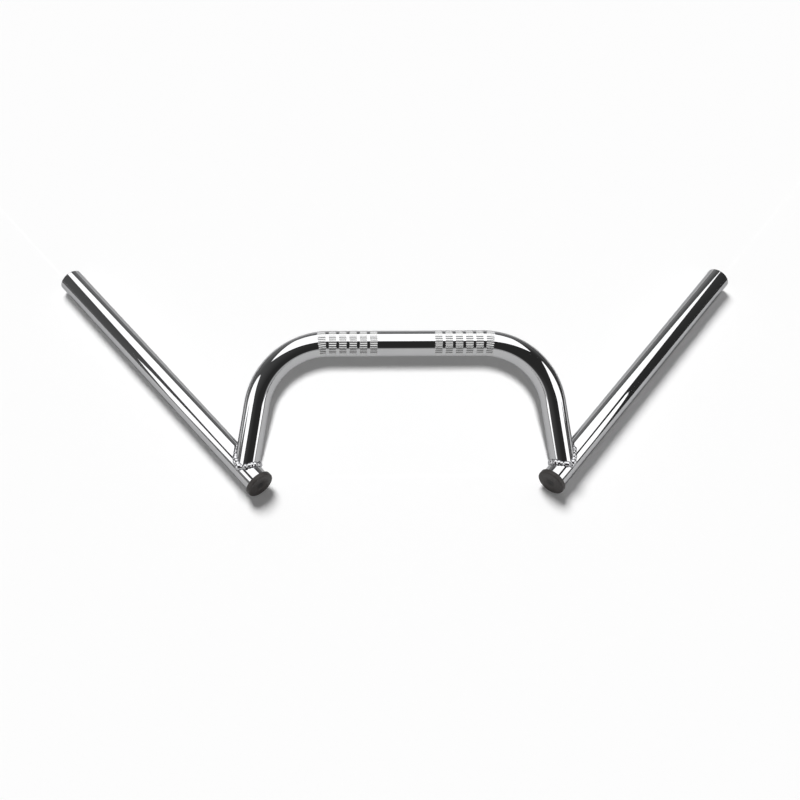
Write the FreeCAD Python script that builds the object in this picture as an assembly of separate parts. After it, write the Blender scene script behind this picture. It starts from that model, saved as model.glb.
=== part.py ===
"""M-shaped motorcycle handlebar: a bent clamp bar, two grip tubes welded to its legs, and two end plugs.

The frame has its origin in the middle of the clamp section, on the tube's axis.
+X runs along the clamp to the right, +Y back to the open ends of the grips, and +Z up.
"""
import FreeCAD, Part
import math
import os

Vector = FreeCAD.Vector
ORIGIN = Vector(0, 0, 0)
ALONG_X = Vector(1, 0, 0)
ALONG_Z = Vector(0, 0, 1)

# Steel tube shared by the clamp bar and the grips
TUBE_DIAMETER = 22.2
TUBE_WALL = 2.0

# Clamp bar, measured along its centre line
CLAMP_STRAIGHT = 135.0
BEND_RADIUS = 64.2
BEND_ANGLE = 80.0
LEG_LENGTH = 59.0
LEG_SLOPE = 45.0

# Knurled bands on both sides of the plain middle of the clamp
PLAIN_MIDDLE = 50.2
BANDS_PER_SIDE = 6
BAND_WIDTH = 6.6
BAND_GAP = 2.35
RIDGE_COUNT = 16
RIDGE_SINK = 0.05
GROOVE_DEPTH = 0.5

# Grip tubes, swept out from straight back
GRIP_LENGTH = 292.5
GRIP_SWEEP = 38.0
GRIP_INNER_STUB = 17.5

# Weld all round the coped joint
COPE_GAP = 0.1
BEAD_GAP = 0.3
BEAD_LEG = 2.6
BEAD_CROWN = 1.5
BEAD_RIPPLE = 5.0
BEAD_RIPPLE_DEPTH = 0.6
BEAD_CROWN_SHARE = 0.7

# Plug pushed into the inner end of a grip tube
PLUG_SEAT_STEP = 0.2
PLUG_SEAT_DEPTH = 18.0
PLUG_CLEARANCE = 0.1
PLUG_HEAD_OVERHANG = 1.8
PLUG_HEAD_THICKNESS = 4.5
PLUG_HEAD_CHAMFER = 1.2
PLUG_RECESS_DIAMETER = 9.0
PLUG_RECESS_DEPTH = 0.4
PLUG_STEM_LENGTH = 15.0

# Sizes that follow from the ones above
TUBE_RADIUS = TUBE_DIAMETER / 2
BORE_RADIUS = TUBE_RADIUS - TUBE_WALL
HALF_CLAMP = CLAMP_STRAIGHT / 2
LEG_START = HALF_CLAMP + BEND_RADIUS * math.radians(BEND_ANGLE)
LEG_END = LEG_START + LEG_LENGTH
SEAT_RADIUS = BORE_RADIUS + PLUG_SEAT_STEP
BEAD_SKIN = TUBE_RADIUS + BEAD_GAP
BEND_CENTRE = Vector(HALF_CLAMP, -BEND_RADIUS, 0)
BEND_END = Vector(
    HALF_CLAMP + BEND_RADIUS * math.sin(math.radians(BEND_ANGLE)),
    -BEND_RADIUS * (1 - math.cos(math.radians(BEND_ANGLE))),
    0,
)
LEG_DIRECTION = Vector(math.cos(math.radians(BEND_ANGLE)), -math.sin(math.radians(BEND_ANGLE)), 0)


def sloped(shape):
    """Turn a shape drawn in the flat plane of the bent bar down to the slope of its legs."""
    return shape.rotate(ORIGIN, ALONG_X, LEG_SLOPE)


def sloped_vector(vector):
    """Turn a vector in the same way as sloped turns a shape."""
    return FreeCAD.Rotation(ALONG_X, LEG_SLOPE).multVec(vector)


def mirrored(shape):
    """Give the left-hand twin of a right-hand shape."""
    return shape.mirror(ORIGIN, ALONG_X)


JOINT = sloped_vector(BEND_END + LEG_DIRECTION * LEG_LENGTH)
LEG_UP = sloped_vector(-LEG_DIRECTION)
GRIP_OUT = Vector(math.sin(math.radians(GRIP_SWEEP)), math.cos(math.radians(GRIP_SWEEP)), 0)
GRIP_INNER_END = JOINT - GRIP_OUT * GRIP_INNER_STUB


def carried(section, start, end):
    """Solids that a section across the clamp sweeps between two distances along the right half."""
    solids = []
    at_bend = section.translated(ALONG_X * HALF_CLAMP)
    if start < HALF_CLAMP:
        run = min(end, HALF_CLAMP) - start
        solids.append(section.translated(ALONG_X * start).extrude(ALONG_X * run))
    if start < LEG_START and end > HALF_CLAMP:
        turn_start = math.degrees((max(start, HALF_CLAMP) - HALF_CLAMP) / BEND_RADIUS)
        turn_end = math.degrees((min(end, LEG_START) - HALF_CLAMP) / BEND_RADIUS)
        turned = at_bend.rotated(BEND_CENTRE, -ALONG_Z, turn_start)
        solids.append(turned.revolve(BEND_CENTRE, -ALONG_Z, turn_end - turn_start))
    if end > LEG_START:
        leg_run = end - max(start, LEG_START)
        at_leg = at_bend.rotated(BEND_CENTRE, -ALONG_Z, BEND_ANGLE)
        at_leg = at_leg.translated(LEG_DIRECTION * (end - LEG_START - leg_run))
        solids.append(at_leg.extrude(LEG_DIRECTION * leg_run))
    return solids


def bent_rod(radius):
    """Solid rod along the bent centre line, flat before it is sloped, ending on the grip axes."""
    disc = Part.Face(Part.Wire(Part.Circle(ORIGIN, ALONG_X, radius).toShape()))
    right = carried(disc, 0, LEG_END)
    return right[0].fuse(right[1:] + [mirrored(solid) for solid in right]).removeSplitter()


def knurl_section():
    """Ring that leaves V-shaped ridges inside it, in the plane across the middle of the clamp."""
    corners = []
    for index in range(2 * RIDGE_COUNT):
        angle = math.pi * index / RIDGE_COUNT
        radius = TUBE_RADIUS - RIDGE_SINK - GROOVE_DEPTH * (index % 2)
        corners.append(Vector(0, radius * math.cos(angle), radius * math.sin(angle)))
    ridges = Part.makePolygon(corners + corners[:1])
    rim = Part.Wire(Part.Circle(ORIGIN, ALONG_X, TUBE_RADIUS + GROOVE_DEPTH).toShape())
    return Part.makeFace([rim, ridges], "Part::FaceMakerBullseye")


def knurl_cutters():
    """Ring-shaped cutters for the bands on both sides of the plain middle."""
    cutters = []
    for index in range(BANDS_PER_SIDE):
        start = PLAIN_MIDDLE / 2 + index * (BAND_WIDTH + BAND_GAP)
        cutters += carried(knurl_section(), start, start + BAND_WIDTH)
    return cutters + [mirrored(cutter) for cutter in cutters]


def grip_rod(radius, start, end):
    """Solid rod on the right grip's axis, between two distances from the grip's inner end."""
    return Part.makeCylinder(radius, end - start, GRIP_INNER_END + GRIP_OUT * start, GRIP_OUT)


def centre_bar():
    """Bent, hollow, knurled clamp bar whose legs are coped to sit on the grip tubes."""
    tube = bent_rod(TUBE_RADIUS).cut(bent_rod(BORE_RADIUS))
    tube = sloped(tube.cut(knurl_cutters()))
    cope = grip_rod(TUBE_RADIUS + COPE_GAP, 0, GRIP_LENGTH)
    return tube.cut([cope, mirrored(cope)])


def grip_tube():
    """Right grip tube, with a reamed seat for the plug in its inner end."""
    outside = grip_rod(TUBE_RADIUS, 0, GRIP_LENGTH)
    return outside.cut([grip_rod(BORE_RADIUS, 0, GRIP_LENGTH), grip_rod(SEAT_RADIUS, 0, PLUG_SEAT_DEPTH)])


def weld_line():
    """Points on the line where the right leg meets its grip tube, each with the leg's way outward."""
    cosine = LEG_UP.dot(GRIP_OUT)
    sine = math.sqrt(1 - cosine ** 2)
    toward_grip = (GRIP_OUT - LEG_UP * cosine) * (1 / sine)
    sideways = LEG_UP.cross(toward_grip)
    samples = []
    for degree in range(361):
        outward = toward_grip * math.cos(math.radians(degree)) + sideways * math.sin(math.radians(degree))
        height = BEAD_SKIN * (outward.dot(toward_grip) * cosine + abs(outward.dot(toward_grip))) / sine
        samples.append((JOINT + LEG_UP * height + outward * BEAD_SKIN, outward))
    lengths = [(after[0] - before[0]).Length for before, after in zip(samples, samples[1:])]
    step = sum(lengths) / round(sum(lengths) / BEAD_RIPPLE) / 2
    line = []
    walked = 0
    for sample, length in zip(samples, lengths):
        if walked >= len(line) * step:
            line.append(sample)
        walked += length
    return line


def from_grip_axis(point):
    """Vector from the right grip's axis straight out to a point."""
    return point - JOINT - GRIP_OUT * (point - JOINT).dot(GRIP_OUT)


def bead_section(root, outward, crown):
    """Corners of the bead at one point of the weld line: root, toe on the leg, crown, toe on the grip."""
    grip_normal = from_grip_axis(root).normalize()
    away = outward - LEG_UP
    away = (away - grip_normal * away.dot(grip_normal)).normalize()
    leg_toe = root + LEG_UP * BEAD_LEG
    grip_toe = root + away * BEAD_LEG
    arm = from_grip_axis(grip_toe)
    grip_toe = grip_toe + arm * (BEAD_SKIN / arm.Length - 1)
    rise = (outward + grip_normal).normalize() * crown
    upper = leg_toe * BEAD_CROWN_SHARE + grip_toe * (1 - BEAD_CROWN_SHARE) + rise
    lower = leg_toe * (1 - BEAD_CROWN_SHARE) + grip_toe * BEAD_CROWN_SHARE + rise
    return [root, leg_toe, upper, lower, grip_toe]


def weld_bead():
    """Rippled fillet bead all round the right joint, just clear of both tubes."""
    sections = []
    for index, (root, outward) in enumerate(weld_line()):
        sections.append(bead_section(root, outward, BEAD_CROWN - BEAD_RIPPLE_DEPTH * (index % 2)))
    faces = []
    for section, after in zip(sections, sections[1:] + sections[:1]):
        for side in range(len(section)):
            near, far = section[side - 1], after[side]
            for corner in (after[side - 1], section[side]):
                faces.append(Part.Face(Part.makePolygon([near, corner, far, near])))
    return Part.makeSolid(Part.makeShell(faces))


def end_plug():
    """Right plug: a flanged head with a chamfered edge and a shallow recess, on a plain stem."""
    head = TUBE_RADIUS + PLUG_HEAD_OVERHANG
    recess = PLUG_RECESS_DIAMETER / 2
    stem = SEAT_RADIUS - PLUG_CLEARANCE
    rim = PLUG_HEAD_THICKNESS - PLUG_HEAD_CHAMFER
    floor = PLUG_HEAD_THICKNESS - PLUG_RECESS_DEPTH
    outline = [
        (0, floor), (recess, floor), (recess, PLUG_HEAD_THICKNESS),
        (head - PLUG_HEAD_CHAMFER, PLUG_HEAD_THICKNESS), (head, rim), (head, 0),
        (stem, 0), (stem, -PLUG_STEM_LENGTH), (0, -PLUG_STEM_LENGTH),
    ]
    profile = Part.makePolygon([Vector(radius, 0, height) for radius, height in outline + outline[:1]])
    plug = Part.Face(profile).revolve(ORIGIN, ALONG_Z, 360)
    plug.Placement = FreeCAD.Placement(GRIP_INNER_END, FreeCAD.Rotation(ALONG_Z, -GRIP_OUT))
    return plug


def main():
    os.makedirs("parts", exist_ok=True)
    shapes = {"centre_bar": centre_bar()}
    for name, shape in (("grip_tube", grip_tube()), ("weld_bead", weld_bead()), ("end_plug", end_plug())):
        shapes["right_" + name] = shape
        shapes["left_" + name] = mirrored(shape)
    for node, shape in shapes.items():
        shape.exportStep("parts/" + node + ".step")


main()
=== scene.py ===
import math
import random

import bmesh
import bpy
from mathutils import Matrix, Vector


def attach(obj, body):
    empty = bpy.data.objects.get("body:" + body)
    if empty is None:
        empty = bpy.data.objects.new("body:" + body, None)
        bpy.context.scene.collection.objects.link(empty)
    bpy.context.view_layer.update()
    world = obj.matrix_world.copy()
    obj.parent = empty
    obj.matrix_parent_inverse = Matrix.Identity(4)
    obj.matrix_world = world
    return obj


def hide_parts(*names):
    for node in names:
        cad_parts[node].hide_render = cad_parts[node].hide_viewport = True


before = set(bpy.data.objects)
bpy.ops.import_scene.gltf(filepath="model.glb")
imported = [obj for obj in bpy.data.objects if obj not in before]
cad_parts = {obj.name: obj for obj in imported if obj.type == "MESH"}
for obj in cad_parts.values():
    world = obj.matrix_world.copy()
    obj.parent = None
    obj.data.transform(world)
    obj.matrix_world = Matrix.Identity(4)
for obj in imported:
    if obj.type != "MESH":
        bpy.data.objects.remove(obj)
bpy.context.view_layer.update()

# Sizes of the bar, in metres, the same as the solids'
TUBE_RADIUS = 0.0111
TUBE_WALL = 0.002
HALF_CLAMP = 0.0675
BEND_RADIUS = 0.0642
BEND_ANGLE = math.radians(80)
LEG_LENGTH = 0.059
LEG_SLOPE = math.radians(45)
GRIP_LENGTH = 0.2925
GRIP_SWEEP = math.radians(38)
GRIP_INNER_STUB = 0.0175

# Knurled bands on the clamp
PLAIN_MIDDLE = 0.0502
BANDS_PER_SIDE = 6
BAND_WIDTH = 0.0066
BAND_GAP = 0.00235
BAND_SHOULDER = 0.0003
GROOVE_COUNT = 38
GROOVE_DEPTH = 0.00025
VERTS_PER_GROOVE = 4

# Roundings and fineness of the tubes
BEND_STEP = math.radians(1.25)
GRIP_SIDES = 128
GRIP_END_ROUNDING = 0.0005
COPE_SINK = 0.0005

# Weld bead, and the drops that it is laid from
BEAD_RADIUS = 0.003
BEAD_RIPPLE = 0.0031
BEAD_LIFT = 0.0003
BEAD_VOXEL = 0.0004
BEAD_SEED = 7
DROP_SIZES = (0.75, 1.2)
DROP_STRAY = 0.0005
DROP_SQUEEZE = 0.95

# End plugs, with the recess's own stations as shares of its radius and depth
PLUG_OVERHANG = 0.0018
PLUG_THICKNESS = 0.0045
PLUG_ROUNDING = 0.0012
PLUG_ROUNDING_STEPS = 6
PLUG_BACK_ROUNDING = PLUG_ROUNDING / 4
PLUG_STEM_RADIUS = 0.0092
PLUG_STEM_LENGTH = 0.015
PLUG_SIDES = 96
RECESS_RADIUS = 0.0045
RECESS_DEPTH = 0.0004
RECESS_MOUTH = 1.1
RECESS_WALL_RISE = 0.6
RECESS_FLOOR = 0.88
RECESS_MIDDLE = 0.05

# Merging of points, and angles past which an edge stays sharp
SAME_PLACE = 1e-6
CREASE = math.radians(30)
KNURL_CREASE = math.radians(15)
PLUG_CREASE = math.radians(35)

# Chrome: its greys, the grey that it has seen along its surface, and its satin bands
CHROME_DARK = (0.39, 0.393, 0.4, 1)
CHROME_LIGHT = (0.45, 0.45, 0.454, 1)
CHROME_RIM = (0.55, 0.55, 0.56, 1)
CHROME_ROUGHNESS = 0.015
HAZE_ROUGHNESS = 0.02
MARK_ROUGHNESS = 0.012
BAND_GREY = (0.42, 0.42, 0.42, 1)
BAND_DULLING = 0.06
BAND_ROUGHNESS = 0.12

# Chrome over the weld
WELD_DARK = (0.32, 0.32, 0.33, 1)
WELD_LIGHT = (0.46, 0.46, 0.47, 1)
WELD_ROUGHNESS = 0.06
WELD_HAZE_ROUGHNESS = 0.12

# Plastic of the plugs, and the painted shade in their recess
PLASTIC_DARK = (0.014, 0.0122, 0.0115, 1)
PLASTIC_DUSTY = (0.03, 0.0265, 0.025, 1)
# The darkest colour is painted shade in the middle of the plugs' recess
PLASTIC_PAINTED_SHADE = (0.002, 0.0018, 0.0017, 1)
PLASTIC_ROUGHNESS = 0.42
DUST_ROUGHNESS = 0.2
PLASTIC_SHINE = 0.3

# Floor and the plain light of the room
WHITE = (1, 1, 1, 1)
PAPER_WHITE = (0.89, 0.89, 0.89, 1)
PAPER_LIFT = 0.08
ROOM_LIGHT = (0.11, 0.11, 0.11, 1)
FLOOR_REACH = 30.0
SHEET_LIFT = 0.0001

# Dark room that the metal mirrors, with heights on its walls as shares of its radius
ROOM_RADIUS = 4.0
ROOM_GLOW = 0.045
LEFT_WALL_GLOW = 0.11
BACK_WALL_GLOW = 0.42
BACK_WALL_TOP = 0.85
FRONT_WALL_GLOW = 0.8
FRONT_WALL_TOP = 0.2
FRONT_WALL_FADE = 0.12
FRONT_WALL_SPREAD = 1.6

# Studio cards, with outlines in (x, y) overhead and in (y, z) at the sides
CARD_GLOW = 2.6
OVERHEAD_HEIGHT = 0.8
OVERHEAD_CARD = [(-0.95, 1.55), (0.87, 1.1), (0.87, 0.2), (0.27, -0.24), (-0.2, -0.24), (-0.95, 0.08)]
SIDE_CARD_REACH = 1.0
LEFT_CARD = [
    (-0.05, -0.05), (0.08, 0.2), (0.085, 0.33), (0.02, 0.5), (-0.05, 0.56), (-1.0, 0.84),
    (-1.0, -0.05), (-0.62, -0.05), (-0.5, 0.2), (-0.26, 0.2), (-0.17, 0.06), (-0.1, -0.05),
]
RIGHT_CARD = [
    (-0.1, 0.02), (0.06, 0.3), (0.2, 0.58), (0.06, 0.66), (-1.05, 1.0),
    (-1.05, -0.05), (-0.62, -0.05), (-0.5, 0.18), (-0.25, 0.18), (-0.18, 0.05),
]

# Dark flags on the floor, outside the grips
FLAG_NEAR = 0.37
FLAG_FAR = 3.0
FLAG_FRONT = -1.5
FLAG_BACK = 3.0
FLAG_GLOWS = {"left": 0.25, "right": 0.06}

# Camera of the photograph
CAMERA_PLACE = (-0.07972, -0.92002, 1.19876)
CAMERA_TURN = (math.radians(35.672), math.radians(-2.080), math.radians(-1.932))
CAMERA_LENS = 77.79
CAMERA_SENSOR = 36

# Colour sockets of a Mix node
MIX_FIRST = 6
MIX_SECOND = 7
MIX_RESULT = 2

# Points that follow from the sizes
LEG_START = HALF_CLAMP + BEND_RADIUS * BEND_ANGLE
LEG_END = LEG_START + LEG_LENGTH
BEND_CENTRE = Vector((HALF_CLAMP, -BEND_RADIUS, 0))
LEG_DIRECTION = Vector((math.cos(BEND_ANGLE), -math.sin(BEND_ANGLE), 0))
SLOPE = Matrix.Rotation(LEG_SLOPE, 3, "X")
BEND_END = BEND_CENTRE + Vector((math.sin(BEND_ANGLE), math.cos(BEND_ANGLE), 0)) * BEND_RADIUS
JOINT = SLOPE @ (BEND_END + LEG_DIRECTION * LEG_LENGTH)
LEG_UP = SLOPE @ -LEG_DIRECTION
GRIP_OUT = Vector((math.sin(GRIP_SWEEP), math.cos(GRIP_SWEEP), 0))
GRIP_INNER_END = JOINT - GRIP_OUT * GRIP_INNER_STUB
SIDES = {"right": 1, "left": -1}


class Wire:
    """An output of a node, so that shader maths reads as a Python expression."""

    def __init__(self, finish, socket):
        self.finish = finish
        self.socket = socket

    def maths(self, operation, first, second=0.0):
        """Result of a Math node on two values."""
        return self.finish.node("ShaderNodeMath", {"operation": operation}, {0: first, 1: second})

    def __add__(self, other):
        return self.maths("ADD", self, other)

    def __radd__(self, other):
        return self.maths("ADD", other, self)

    def __sub__(self, other):
        return self.maths("SUBTRACT", self, other)

    def __rsub__(self, other):
        return self.maths("SUBTRACT", other, self)

    def __mul__(self, other):
        return self.maths("MULTIPLY", self, other)

    def __rmul__(self, other):
        return self.maths("MULTIPLY", other, self)

    def __truediv__(self, other):
        return self.maths("DIVIDE", self, other)

    def __rtruediv__(self, other):
        return self.maths("DIVIDE", other, self)

    def __mod__(self, other):
        return self.maths("MODULO", self, other)

    def __rmod__(self, other):
        return self.maths("MODULO", other, self)

    def __lt__(self, other):
        return self.maths("LESS_THAN", self, other)

    def __gt__(self, other):
        return self.maths("GREATER_THAN", self, other)

    def __abs__(self):
        return self.maths("ABSOLUTE", self)

    def within(self, low, high):
        """The value held between two limits."""
        return self.maths("MINIMUM", self.maths("MAXIMUM", self, low), high)


class Finish:
    """A node tree of a material or of the world, filled by one method."""

    def __init__(self, owner):
        self.owner = owner
        owner.use_nodes = True
        self.tree = owner.node_tree
        self.tree.nodes.clear()

    def node(self, kind, settings, sockets, output=0):
        """Add a node of a kind, set it up, fill or link its sockets, and give one of its outputs."""
        node = self.tree.nodes.new(kind)
        for key, value in settings.items():
            setattr(node, key, value)
        for key, value in sockets.items():
            if isinstance(value, Wire):
                self.tree.links.new(value.socket, node.inputs[key])
            else:
                node.inputs[key].default_value = value
        if node.outputs:
            return Wire(self, node.outputs[output])

    def place(self):
        """Object coordinates of the surface."""
        return self.node("ShaderNodeTexCoord", {}, {}, output="Object")

    def along(self, axis):
        """Object coordinate of the surface on one axis."""
        return self.node("ShaderNodeSeparateXYZ", {}, {"Vector": self.place()}, output=axis)

    def noise(self, scale, detail):
        """Even noise over the piece, from 0 to 1."""
        sockets = {"Vector": self.place(), "Scale": scale, "Detail": detail}
        return self.node("ShaderNodeTexNoise", {}, sockets)

    def bump(self, height, strength, distance):
        """Small relief of the surface, from a height."""
        sockets = {"Strength": strength, "Distance": distance, "Height": height}
        return self.node("ShaderNodeBump", {}, sockets)

    def blend(self, factor, first, second):
        """Mix of two colours."""
        sockets = {"Factor": factor, MIX_FIRST: first, MIX_SECOND: second}
        return self.node("ShaderNodeMix", {"data_type": "RGBA"}, sockets, output=MIX_RESULT)

    def surface(self, shader):
        """End the tree in its output."""
        is_world = isinstance(self.owner, bpy.types.World)
        kind = "ShaderNodeOutputWorld" if is_world else "ShaderNodeOutputMaterial"
        self.node(kind, {}, {"Surface": shader})
        return self.owner


def knurl_bands(finish):
    """1 on the knurled bands of the clamp and 0 beside them."""
    reach = abs(finish.along("X"))
    first = PLAIN_MIDDLE / 2
    pitch = BAND_WIDTH + BAND_GAP
    on_band = (reach - first) % pitch < BAND_WIDTH
    return on_band * (reach > first) * (reach < first + pitch * BANDS_PER_SIDE - BAND_GAP)


def chrome_tones(finish):
    """Colour, roughness and faint waves of bright chrome, with haze and fine polishing marks."""
    haze = finish.noise(scale=38.0, detail=4.0)
    marks = finish.noise(scale=900.0, detail=2.0)
    colour = finish.blend(haze, CHROME_DARK, CHROME_LIGHT)
    roughness = CHROME_ROUGHNESS + haze * HAZE_ROUGHNESS + marks * MARK_ROUGHNESS
    waves = finish.bump(finish.noise(scale=26.0, detail=1.0), strength=0.025, distance=0.001)
    return colour, roughness, waves


def plated(finish, colour, roughness, relief, metallic=1.0):
    """End a tree as plated metal."""
    return finish.surface(finish.node("ShaderNodeBsdfPrincipled", {}, {
        "Base Color": colour,
        "Metallic": metallic,
        "Roughness": roughness,
        "Specular Tint": CHROME_RIM,
        "Normal": relief,
    }))


def chrome_plate():
    """Bright chrome of the grips."""
    finish = Finish(bpy.data.materials.new("chrome_plate"))
    colour, roughness, waves = chrome_tones(finish)
    return plated(finish, colour, roughness, waves)


def knurled_chrome():
    """The same chrome on the clamp bar, even and satin on its knurled bands."""
    finish = Finish(bpy.data.materials.new("knurled_chrome"))
    colour, roughness, waves = chrome_tones(finish)
    bands = knurl_bands(finish)
    colour = finish.blend(bands, colour, BAND_GREY)
    return plated(finish, colour, roughness + bands * BAND_ROUGHNESS, waves, 1 - bands * BAND_DULLING)


def chrome_weld():
    """Chrome over the weld, with the grain of the bead showing through the plating."""
    finish = Finish(bpy.data.materials.new("chrome_weld"))
    haze = finish.noise(scale=260.0, detail=3.0)
    colour = finish.blend(haze, WELD_DARK, WELD_LIGHT)
    grain = finish.bump(finish.noise(scale=1500.0, detail=3.0), strength=0.25, distance=0.0004)
    return plated(finish, colour, WELD_ROUGHNESS + haze * WELD_HAZE_ROUGHNESS, grain)


def recess_painted_shade(finish):
    """Painted shade: 1 in the middle of the recess of either plug's head, falling to 0 at its edge."""
    ahead = finish.along("Y") - GRIP_INNER_END.y
    beside = (abs(finish.along("X")) - GRIP_INNER_END.x) * GRIP_OUT.y - ahead * GRIP_OUT.x
    above = finish.along("Z") - GRIP_INNER_END.z
    return (1 - (beside * beside + above * above) / RECESS_RADIUS ** 2).within(0, 1)


def plug_plastic():
    """Dark moulded plastic with a fine grain and slightly dusty patches, with shade painted darkest in the
    middle of the recess.
    """
    finish = Finish(bpy.data.materials.new("plug_plastic"))
    dust = finish.noise(scale=190.0, detail=4.0)
    colour = finish.blend(dust, PLASTIC_DARK, PLASTIC_DUSTY)
    return finish.surface(finish.node("ShaderNodeBsdfPrincipled", {}, {
        # Painted shade in the recess of the plug's head
        "Base Color": finish.blend(recess_painted_shade(finish), colour, PLASTIC_PAINTED_SHADE),
        "Roughness": PLASTIC_ROUGHNESS + dust * DUST_ROUGHNESS,
        "Specular IOR Level": PLASTIC_SHINE,
        "Normal": finish.bump(finish.noise(scale=2600.0, detail=2.0), strength=0.3, distance=0.0002),
    }))


def glowing(name, strength):
    """Even light of a studio card."""
    finish = Finish(bpy.data.materials.new(name))
    light = finish.node("ShaderNodeEmission", {}, {"Color": WHITE, "Strength": strength})
    return finish.surface(light)


def start_ring(name, sides, radius, place):
    """New piece in edit mode that is one ring across X, all selected."""
    bpy.ops.object.select_all(action="DESELECT")
    bpy.ops.mesh.primitive_circle_add(
        vertices=sides, radius=radius, fill_type="NOTHING",
        location=(place, 0, 0), rotation=(0, math.pi / 2, 0))
    piece = bpy.context.object
    piece.name = name
    bpy.ops.object.transform_apply(location=True, rotation=True, scale=True)
    bpy.ops.object.mode_set(mode="EDIT")
    bpy.ops.mesh.select_mode(type="VERT")
    bpy.ops.mesh.select_all(action="SELECT")
    return piece


def select_ring(piece, place):
    """Select the edges of the ring across X at a place, and nothing else."""
    bpy.ops.mesh.select_mode(type="EDGE")
    bpy.ops.mesh.select_all(action="DESELECT")
    mesh = bmesh.from_edit_mesh(piece.data)
    for edge in mesh.edges:
        edge.select_set(all(abs(vert.co.x - place) < SAME_PLACE for vert in edge.verts))
    bmesh.update_edit_mesh(piece.data)


def turned(name, sides, outline):
    """Piece made as on a lathe: a ring taken along X through (place, radius) stations, with closed ends."""
    piece = start_ring(name, sides, outline[0][1], outline[0][0])
    bpy.ops.mesh.edge_face_add()
    select_ring(piece, outline[0][0])
    for (before, radius), (after, next_radius) in zip(outline, outline[1:]):
        bpy.ops.mesh.extrude_edges_move(TRANSFORM_OT_translate={"value": (after - before, 0, 0)})
        factor = next_radius / radius
        if factor != 1:
            bpy.ops.transform.resize(value=(1, factor, factor), center_override=(after, 0, 0))
    bpy.ops.mesh.edge_face_add()
    return piece


def finish_mesh(piece, crease=CREASE):
    """Merge doubles, turn faces outwards, leave edit mode and shade the piece."""
    bpy.ops.mesh.select_all(action="SELECT")
    bpy.ops.mesh.remove_doubles(threshold=SAME_PLACE)
    bpy.ops.mesh.normals_make_consistent(inside=False)
    bpy.ops.object.mode_set(mode="OBJECT")
    bpy.ops.object.shade_smooth_by_angle(angle=crease)


def apply_modifier(piece, kind, settings):
    """Add a modifier, set it up and apply it."""
    modifier = piece.modifiers.new(kind.lower(), kind)
    for key, value in settings.items():
        setattr(modifier, key, value)
    bpy.ops.object.modifier_apply(modifier=modifier.name)


def hand_over(piece, node, material):
    """Give a finished piece its material, and let it stand for its solid."""
    piece.data.materials.clear()
    piece.data.materials.append(material)
    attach(piece, "root")
    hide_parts(node)


def draw_bar(start, end):
    """Take the selected ring along the flat centre line between two distances from the middle."""
    straight = min(end, HALF_CLAMP) - start
    if straight > 0:
        bpy.ops.mesh.extrude_edges_move(TRANSFORM_OT_translate={"value": (straight, 0, 0)})
    turn = (min(end, LEG_START) - max(start, HALF_CLAMP)) / BEND_RADIUS
    if turn > 0:
        steps = math.ceil(turn / BEND_STEP)
        bpy.ops.mesh.spin(steps=steps, angle=turn, center=BEND_CENTRE, axis=(0, 0, 1))
    leg = end - max(start, LEG_START)
    if leg > 0:
        bpy.ops.mesh.extrude_edges_move(TRANSFORM_OT_translate={"value": LEG_DIRECTION * leg})


def move_grooves(piece, place, factor):
    """Push every groove point of the selected ring towards the tube's axis, or back out."""
    mesh = bmesh.from_edit_mesh(piece.data)
    ring = [vert for vert in mesh.verts if vert.select]
    ring_indices = [vert.index for vert in ring]
    centre = sum((vert.co for vert in ring), Vector()) / len(ring)
    turn = max(place - HALF_CLAMP, 0) / BEND_RADIUS
    outward = Vector((math.sin(turn), math.cos(turn), 0))
    for vert in ring:
        arm = vert.co - centre
        share = math.atan2(arm.z, arm.dot(outward)) / (2 * math.pi) * GROOVE_COUNT
        vert.select_set(round(share * VERTS_PER_GROOVE) % VERTS_PER_GROOVE == VERTS_PER_GROOVE // 2)
    mesh.select_flush_mode()
    bmesh.update_edit_mesh(piece.data)
    bpy.ops.transform.resize(value=(factor, factor, factor), center_override=centre)
    mesh = bmesh.from_edit_mesh(piece.data)
    mesh.verts.ensure_lookup_table()
    for index in ring_indices:
        mesh.verts[index].select_set(True)
    mesh.select_flush(True)
    bmesh.update_edit_mesh(piece.data)


def cope_end(piece):
    """Slide the selected end of the flat leg along itself to lie just inside the grip tube's wall."""
    grip_out = SLOPE.inverted() @ GRIP_OUT
    joint = SLOPE.inverted() @ JOINT
    reach = TUBE_RADIUS - COPE_SINK
    across = LEG_DIRECTION - grip_out * LEG_DIRECTION.dot(grip_out)
    mesh = bmesh.from_edit_mesh(piece.data)
    for vert in mesh.verts:
        if vert.select:
            arm = vert.co - joint
            arm -= grip_out * arm.dot(grip_out)
            middle = arm.dot(across) / across.length_squared
            root = max(middle ** 2 - (arm.length_squared - reach ** 2) / across.length_squared, 0)
            vert.co -= LEG_DIRECTION * (middle + math.sqrt(root))
    bmesh.update_edit_mesh(piece.data)


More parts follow.
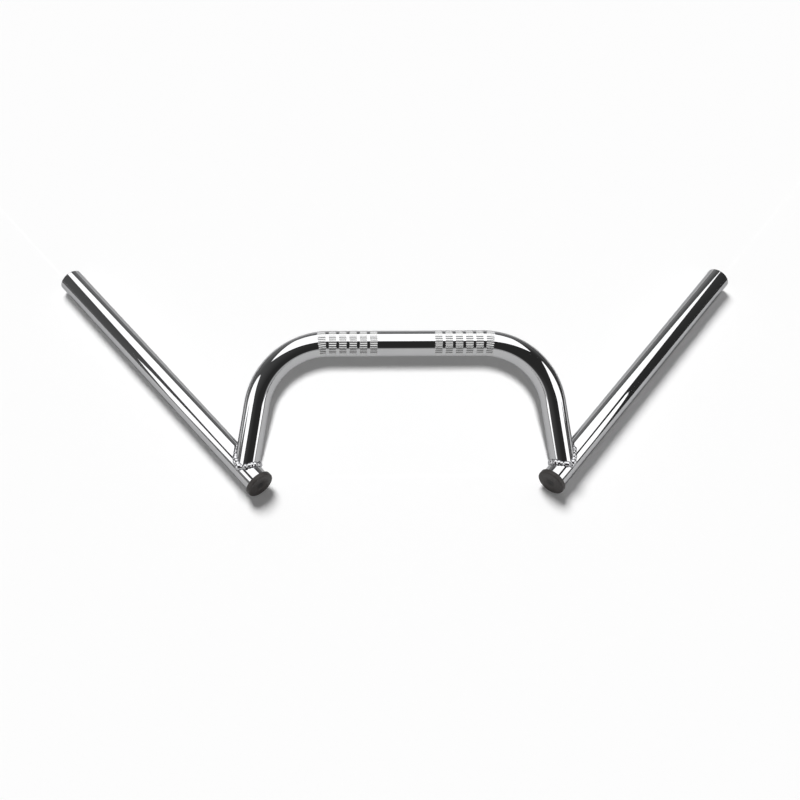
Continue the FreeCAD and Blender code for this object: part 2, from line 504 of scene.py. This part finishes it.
def clamp_bar():
    """Bent bar with its knurled bands: the right half drawn along its line, mirrored, and sloped."""
    piece = start_ring("clamp_bar", GROOVE_COUNT * VERTS_PER_GROOVE, TUBE_RADIUS, 0)
    groove_factor = (TUBE_RADIUS - GROOVE_DEPTH) / TUBE_RADIUS
    place = 0
    for index in range(BANDS_PER_SIDE):
        start = PLAIN_MIDDLE / 2 + index * (BAND_WIDTH + BAND_GAP)
        end = start + BAND_WIDTH
        draw_bar(place, start)
        draw_bar(start, start + BAND_SHOULDER)
        move_grooves(piece, start + BAND_SHOULDER, groove_factor)
        draw_bar(start + BAND_SHOULDER, end - BAND_SHOULDER)
        draw_bar(end - BAND_SHOULDER, end)
        move_grooves(piece, end, 1 / groove_factor)
        place = end
    draw_bar(place, LEG_END)
    cope_end(piece)
    bpy.ops.mesh.edge_face_add()
    bpy.ops.object.mode_set(mode="OBJECT")
    apply_modifier(piece, "MIRROR", {"merge_threshold": SAME_PLACE})
    bpy.ops.object.mode_set(mode="EDIT")
    finish_mesh(piece, KNURL_CREASE)
    piece.rotation_euler = (LEG_SLOPE, 0, 0)
    bpy.ops.object.transform_apply(rotation=True)
    return piece


def set_on_grip(piece, side):
    """Move a piece drawn along X to the grip tube's axis, from its inner end."""
    heading = Vector((GRIP_OUT.x * SIDES[side], GRIP_OUT.y))
    piece.location = (GRIP_INNER_END.x * SIDES[side], GRIP_INNER_END.y, GRIP_INNER_END.z)
    piece.rotation_euler = (0, 0, math.atan2(heading.y, heading.x))
    bpy.ops.object.transform_apply(location=True, rotation=True)


def grip_tube(side):
    """Open tube with rounded rims at its outer end."""
    bore = TUBE_RADIUS - TUBE_WALL
    piece = start_ring(side + "_grip", GRIP_SIDES, TUBE_RADIUS, 0)
    bpy.ops.mesh.extrude_edges_move(TRANSFORM_OT_translate={"value": (GRIP_LENGTH, 0, 0)})
    bpy.ops.mesh.extrude_edges_move(TRANSFORM_OT_translate={"value": (0, 0, 0)})
    factor = bore / TUBE_RADIUS
    bpy.ops.transform.resize(value=(1, factor, factor), center_override=(GRIP_LENGTH, 0, 0))
    bpy.ops.mesh.extrude_edges_move(TRANSFORM_OT_translate={"value": (-GRIP_LENGTH, 0, 0)})
    select_ring(piece, 0)
    bpy.ops.mesh.bridge_edge_loops()
    select_ring(piece, GRIP_LENGTH)
    mesh = bmesh.from_edit_mesh(piece.data)
    for edge in mesh.edges:
        arms = [math.hypot(vert.co.y, vert.co.z) for vert in edge.verts]
        if abs(arms[0] - arms[1]) > TUBE_WALL / 2:
            edge.select_set(False)
    bmesh.update_edit_mesh(piece.data)
    bpy.ops.mesh.bevel(offset=GRIP_END_ROUNDING, segments=4)
    finish_mesh(piece)
    set_on_grip(piece, side)
    return piece


def weld_line():
    """Points at even steps round the line where the right leg meets its grip tube."""
    cosine = LEG_UP.dot(GRIP_OUT)
    sine = math.sqrt(1 - cosine ** 2)
    toward_grip = (GRIP_OUT - LEG_UP * cosine) / sine
    sideways = LEG_UP.cross(toward_grip)
    reach = TUBE_RADIUS + BEAD_LIFT
    samples = []
    for degree in range(361):
        across = TUBE_RADIUS * math.cos(math.radians(degree))
        beside = TUBE_RADIUS * math.sin(math.radians(degree))
        height = (across * cosine + math.sqrt(reach ** 2 - beside ** 2)) / sine
        samples.append(JOINT + LEG_UP * height + toward_grip * across + sideways * beside)
    lengths = [(after - before).length for before, after in zip(samples, samples[1:])]
    step = sum(lengths) / round(sum(lengths) / BEAD_RIPPLE)
    points = []
    walked = 0
    for sample, length in zip(samples, lengths):
        if walked >= len(points) * step:
            points.append(sample)
        walked += length
    return points


def weld_bead(side):
    """Hand-laid bead: uneven drops set one over the next round the joint, then melted together."""
    chance = random.Random(BEAD_SEED + SIDES[side])
    mirror = Matrix.Diagonal((SIDES[side], 1, 1))
    points = [mirror @ point for point in weld_line()]
    bpy.ops.object.select_all(action="DESELECT")
    piece = None
    for index, point in enumerate(points):
        onward = points[(index + 1) % len(points)] - points[index - 1]
        size = BEAD_RADIUS * chance.uniform(*DROP_SIZES)
        stray = Vector([chance.uniform(-DROP_STRAY, DROP_STRAY) for axis in range(3)])
        bpy.ops.mesh.primitive_uv_sphere_add(
            segments=16, ring_count=10, radius=size, scale=(1, 1, DROP_SQUEEZE),
            location=point + stray, rotation=onward.to_track_quat("Z", "Y").to_euler())
        if piece is None:
            piece = bpy.context.object
            piece.name = side + "_weld"
            bpy.ops.object.transform_apply(location=True, rotation=True, scale=True)
            bpy.ops.object.mode_set(mode="EDIT")
    bpy.ops.object.mode_set(mode="OBJECT")
    apply_modifier(piece, "REMESH", {"mode": "VOXEL", "voxel_size": BEAD_VOXEL})
    apply_modifier(piece, "SMOOTH", {"factor": 0.5, "iterations": 2})
    bpy.ops.object.shade_smooth()
    return piece


def plug_outline():
    """(place, radius) stations of a plug, from the end of its stem to the middle of its recess."""
    head = TUBE_RADIUS + PLUG_OVERHANG
    rim = head - PLUG_ROUNDING
    outline = [
        (PLUG_STEM_LENGTH, PLUG_STEM_RADIUS),
        (0, PLUG_STEM_RADIUS),
        (0, head - PLUG_BACK_ROUNDING),
        (-PLUG_BACK_ROUNDING, head),
    ]
    for step in range(PLUG_ROUNDING_STEPS + 1):
        angle = math.radians(90 * step / PLUG_ROUNDING_STEPS)
        place = -PLUG_THICKNESS + PLUG_ROUNDING * (1 - math.sin(angle))
        outline.append((place, rim + PLUG_ROUNDING * math.cos(angle)))
    floor = RECESS_DEPTH - PLUG_THICKNESS
    return outline + [
        (-PLUG_THICKNESS, RECESS_RADIUS * RECESS_MOUTH),
        (floor - RECESS_DEPTH * RECESS_WALL_RISE, RECESS_RADIUS),
        (floor, RECESS_RADIUS * RECESS_FLOOR),
        (floor, RECESS_RADIUS * RECESS_MIDDLE),
    ]


def end_plug(side):
    """Push-in plug: a thick flanged head with a soft rim and a shallow recess, on a plain stem."""
    piece = turned(side + "_plug", PLUG_SIDES, plug_outline())
    finish_mesh(piece, PLUG_CREASE)
    set_on_grip(piece, side)
    return piece


def only_in_reflections(card):
    """Let a studio card show in the metal, and neither light the floor nor stand in a view."""
    card.visible_camera = False
    card.visible_diffuse = False
    card.visible_shadow = False
    card.visible_transmission = False
    card.visible_volume_scatter = False


def flat_sheet(name, corners, material):
    """Flat sheet of the studio with its corners at given places."""
    mesh = bpy.data.meshes.new(name)
    mesh.from_pydata(corners, [], [range(len(corners))])
    mesh.materials.append(material)
    sheet = bpy.data.objects.new(name, mesh)
    bpy.context.scene.collection.objects.link(sheet)
    return sheet


def studio_card(name, corners, strength):
    """Glowing card that shows only in the metal."""
    only_in_reflections(flat_sheet(name, corners, glowing(name, strength)))


def room_walls():
    """Dark walls, paler on the left and low down at the back and the front."""
    finish = Finish(bpy.data.materials.new("dark_room"))
    left = (0 - finish.along("X") / ROOM_RADIUS).within(0, 1)
    depth = finish.along("Y") / ROOM_RADIUS
    height = finish.along("Z") / ROOM_RADIUS
    back = (1 - height / BACK_WALL_TOP).within(0, 1) * depth.within(0, 1) * depth.within(0, 1)
    front = ((FRONT_WALL_TOP - height) / FRONT_WALL_FADE).within(0, 1)
    front = front * (0 - depth * FRONT_WALL_SPREAD).within(0, 1)
    glow = ROOM_GLOW + left * LEFT_WALL_GLOW + back * BACK_WALL_GLOW + front * FRONT_WALL_GLOW
    return finish.surface(finish.node("ShaderNodeEmission", {}, {"Color": glow, "Strength": 1.0}))


def dark_room():
    """Round room that shows only in the metal."""
    walls = room_walls()
    bpy.ops.object.select_all(action="DESELECT")
    bpy.ops.mesh.primitive_uv_sphere_add(segments=48, ring_count=24, radius=ROOM_RADIUS)
    room = bpy.context.object
    room.name = "dark_room"
    room.data.materials.append(walls)
    only_in_reflections(room)


def on_floor(x, y, lift=0.0):
    """Point of the floor, which touches the plugs and the outer ends of the grips."""
    low = GRIP_INNER_END.z - TUBE_RADIUS - PLUG_OVERHANG
    rise = PLUG_OVERHANG / (GRIP_LENGTH * GRIP_OUT.y)
    return (x, y, low + (y - GRIP_INNER_END.y) * rise + lift)


def seen_rays(finish):
    """1 where the camera looks, straight or by way of metal or glass."""
    kinds = ("Is Camera Ray", "Is Glossy Ray", "Is Transmission Ray")
    camera, glossy, through = [finish.node("ShaderNodeLightPath", {}, {}, output=kind) for kind in kinds]
    return (camera + glossy + through).within(0, 1)


def white_paper():
    """White paper, lifted a little for the camera and the metal."""
    finish = Finish(bpy.data.materials.new("white_paper"))
    paper = finish.node("ShaderNodeBsdfDiffuse", {}, {"Color": PAPER_WHITE})
    lift = finish.node("ShaderNodeEmission", {}, {"Color": seen_rays(finish), "Strength": PAPER_LIFT})
    return finish.surface(finish.node("ShaderNodeAddShader", {}, {0: paper, 1: lift}))


def pale_world():
    """White room behind the floor, with little light of its own."""
    world = bpy.data.worlds.new("pale_world")
    bpy.context.scene.world = world
    finish = Finish(world)
    colour = finish.blend(seen_rays(finish), ROOM_LIGHT, WHITE)
    finish.surface(finish.node("ShaderNodeBackground", {}, {"Color": colour, "Strength": 1.0}))


def sun(name, elevation, azimuth, spread, level):
    """Sun that gives the floor a level of light, with its height, heading and spread in degrees."""
    turn = (math.radians(90 - elevation), 0, math.radians(azimuth))
    bpy.ops.object.light_add(type="SUN", rotation=turn)
    lamp = bpy.context.object
    lamp.name = name
    lamp.data.angle = math.radians(spread)
    lamp.data.energy = level / math.sin(math.radians(elevation))
    lamp.visible_glossy = False
    return lamp


def group(name, members):
    """Collection of some pieces for a lamp."""
    collection = bpy.data.collections.new(name)
    for member in members:
        collection.objects.link(member)
    return collection


def lit_floor(raised, lying):
    """White paper with a sheet between the grips, each with a key that throws short shadows on it."""
    paper = white_paper()
    far = JOINT + GRIP_OUT * FLOOR_REACH
    corners = [(-1, -1), (1, -1), (1, 1), (-1, 1)]
    wide = [on_floor(x * FLOOR_REACH, y * FLOOR_REACH) for x, y in corners]
    outer = flat_sheet("outer_floor", wide, paper)
    between = [(-JOINT.x, JOINT.y), (JOINT.x, JOINT.y), (far.x, far.y), (-far.x, far.y)]
    inner = flat_sheet("inner_floor", [on_floor(x, y, SHEET_LIFT) for x, y in between], paper)
    front_key = sun("front_key", elevation=60, azimuth=-6, spread=5, level=2.82)
    front_key.light_linking.receiver_collection = group("lit_from_front", [inner] + raised + lying)
    front_key.light_linking.blocker_collection = group("shading_from_front", raised)
    back_key = sun("back_key", elevation=56, azimuth=202, spread=26, level=2.85)
    back_key.light_linking.receiver_collection = group("lit_from_back", [outer])
    back_key.light_linking.blocker_collection = group("shading_from_back", lying)


def studio(raised, lying):
    """Floor, light, world and the cards that the chrome mirrors."""
    lit_floor(raised, lying)
    dark_room()
    studio_card("overhead_box", [(x, y, OVERHEAD_HEIGHT) for x, y in OVERHEAD_CARD], CARD_GLOW)
    studio_card("left_card", [(-SIDE_CARD_REACH, y, z) for y, z in LEFT_CARD], CARD_GLOW)
    studio_card("right_card", [(SIDE_CARD_REACH, y, z) for y, z in RIGHT_CARD], CARD_GLOW)
    for side, glow in FLAG_GLOWS.items():
        near, far = FLAG_NEAR * SIDES[side], FLAG_FAR * SIDES[side]
        flag = [(near, FLAG_FRONT), (far, FLAG_FRONT), (far, FLAG_BACK), (near, FLAG_BACK)]
        studio_card(side + "_flag", [on_floor(x, y, 2 * SHEET_LIFT) for x, y in flag], glow)
    pale_world()


def camera():
    """Camera at the photograph's viewpoint."""
    bpy.ops.object.camera_add(location=CAMERA_PLACE, rotation=CAMERA_TURN)
    eye = bpy.context.object
    eye.data.lens = CAMERA_LENS
    eye.data.sensor_width = CAMERA_SENSOR
    bpy.context.scene.camera = eye


def main():
    """Make the pieces, set up the studio and the camera."""
    plate = chrome_plate()
    weld_plate = chrome_weld()
    plastic = plug_plastic()
    bar = clamp_bar()
    hand_over(bar, "centre_bar", knurled_chrome())
    lying = []
    for side in SIDES:
        grip, weld, plug = grip_tube(side), weld_bead(side), end_plug(side)
        hand_over(grip, side + "_grip_tube", plate)
        hand_over(weld, side + "_weld_bead", weld_plate)
        hand_over(plug, side + "_end_plug", plastic)
        lying += [grip, weld, plug]
    studio([bar], lying)
    camera()
    bpy.context.scene.view_settings.view_transform = "Standard"


main()
